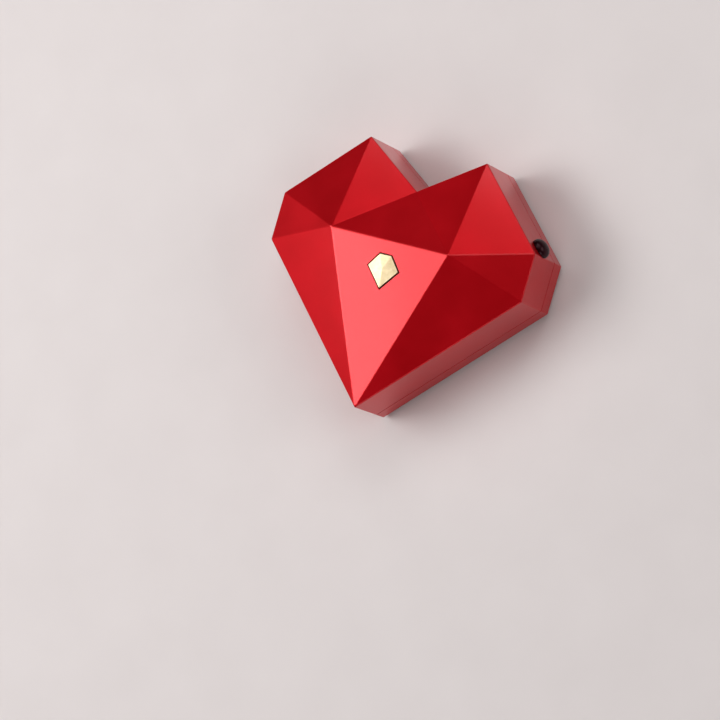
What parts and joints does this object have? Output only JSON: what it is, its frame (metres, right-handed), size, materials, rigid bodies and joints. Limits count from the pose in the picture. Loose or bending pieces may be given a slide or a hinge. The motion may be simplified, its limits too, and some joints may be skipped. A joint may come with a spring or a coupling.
{
  "type": "wind up music box",
  "caption": "Closed faceted heart-shaped wind-up music box with a gem-shaped play button, a side winding crown and a comb-and-cylinder movement inside.",
  "frame": {"origin": "middle of the heart, on the surface that its rubber feet stand on", "axes": "+X to the right across the heart, +Y up the heart from tip to lobes, +Z out of the faceted front"},
  "size_m": [0.1012, 0.0936, 0.0361],
  "materials": {
    "red_paint": "satin red lacquer over moulded plastic",
    "black_gloss": "polished black",
    "gold": "pale champagne gold plating, faceted and polished",
    "brass": "machined brass",
    "steel": "bright turned steel",
    "spring_steel": "blue-grey tempered spring steel",
    "zinc": "die-cast zinc alloy, fine satin",
    "rubber": "matt black rubber",
    "nylon": "natural nylon"
  },
  "bodies": {
    "case": {"front_shell": "red_paint", "back_shell": "red_paint", "lever_pin": "steel", "bedplate": "zinc", "left_bracket": "brass", "right_bracket": "brass", "barrel_bracket": "brass", "governor_cock": "brass", "worm_bridge": "brass", "comb": "steel", "comb_base": "zinc", "clutch_spring": "spring_steel", "stem_bush": "nylon", "foot_upper_left": "rubber", "foot_upper_right": "rubber", "foot_lower_left": "rubber", "foot_lower_right": "rubber", "case_screw_1": "steel", "case_screw_2": "steel", "case_screw_3": "steel", "case_screw_4": "steel", "case_screw_5": "steel", "frame_screw_1": "steel", "frame_screw_2": "steel", "frame_screw_3": "steel", "frame_screw_4": "steel", "frame_screw_5": "steel", "bed_screw_1": "steel", "bed_screw_2": "steel", "bed_screw_3": "steel", "bed_screw_4": "steel", "comb_screw_1": "steel", "comb_screw_2": "steel", "comb_screw_3": "steel"},
    "winding": {"winding_crown": "black_gloss", "winding_arbor": "steel", "arbor_clip": "spring_steel"},
    "barrel": {"barrel_drum": "brass", "barrel_cover": "brass", "great_wheel": "brass", "mainspring": "spring_steel"},
    "cylinder": {"music_cylinder": "brass", "cylinder_arbor": "steel", "cylinder_pinion": "steel", "cylinder_wheel": "brass"},
    "governor": {"governor_arbor": "steel", "governor_pinion": "steel", "worm_wheel": "nylon"},
    "worm": {"worm_shaft": "steel", "air_fan": "brass", "brake_disc": "nylon"},
    "gem": {"gem_button": "gold", "gem_plunger": "steel", "plunger_clip": "spring_steel"},
    "lever": {"stop_lever": "steel", "lever_spring": "spring_steel"}
  },
  "joints": [
    {"name": "crown_turn", "type": "hinge", "parent": "case", "child": "winding", "pos_m": [0.01252, -0.01252, 0.0185], "axis": [0.7071, 0.7071, 0], "continuous": true},
    {"name": "cylinder_spin", "type": "hinge", "parent": "case", "child": "cylinder", "pos_m": [0.00255, -0.00255, 0.0185], "axis": [0.7071, 0.7071, 0], "continuous": true},
    {"name": "barrel_spin", "type": "hinge", "parent": "case", "child": "barrel", "pos_m": [0.01252, -0.01252, 0.0185], "axis": [0.7071, 0.7071, 0], "continuous": true},
    {"name": "governor_spin", "type": "hinge", "parent": "case", "child": "governor", "pos_m": [0.01004, -0.01004, 0.0185], "axis": [0.7071, 0.7071, 0], "continuous": true},
    {"name": "worm_spin", "type": "hinge", "parent": "case", "child": "worm", "pos_m": [0.00544, -0.02341, 0.0185], "axis": [0, 0, 1], "continuous": true},
    {"name": "gem_press", "type": "slide", "parent": "case", "child": "gem", "axis": [0, 0.1699, -0.9855], "range_m": [0, 0.0015], "stiffness_N_per_m": 400, "springref_m": -0.0005},
    {"name": "lever_rock", "type": "hinge", "parent": "case", "child": "lever", "pos_m": [0.002, -0.00857, 0.0262], "axis": [1, 0, 0], "range_deg": [-8, 0]}
  ],
  "couplings": [
    {"joint": "barrel_spin", "follows": "cylinder_spin", "ratio": -0.4},
    {"joint": "governor_spin", "follows": "cylinder_spin", "ratio": -2},
    {"joint": "worm_spin", "follows": "cylinder_spin", "ratio": -36},
    {"joint": "lever_rock", "follows": "gem_press", "rad_per_m": -90.909}
  ]
}
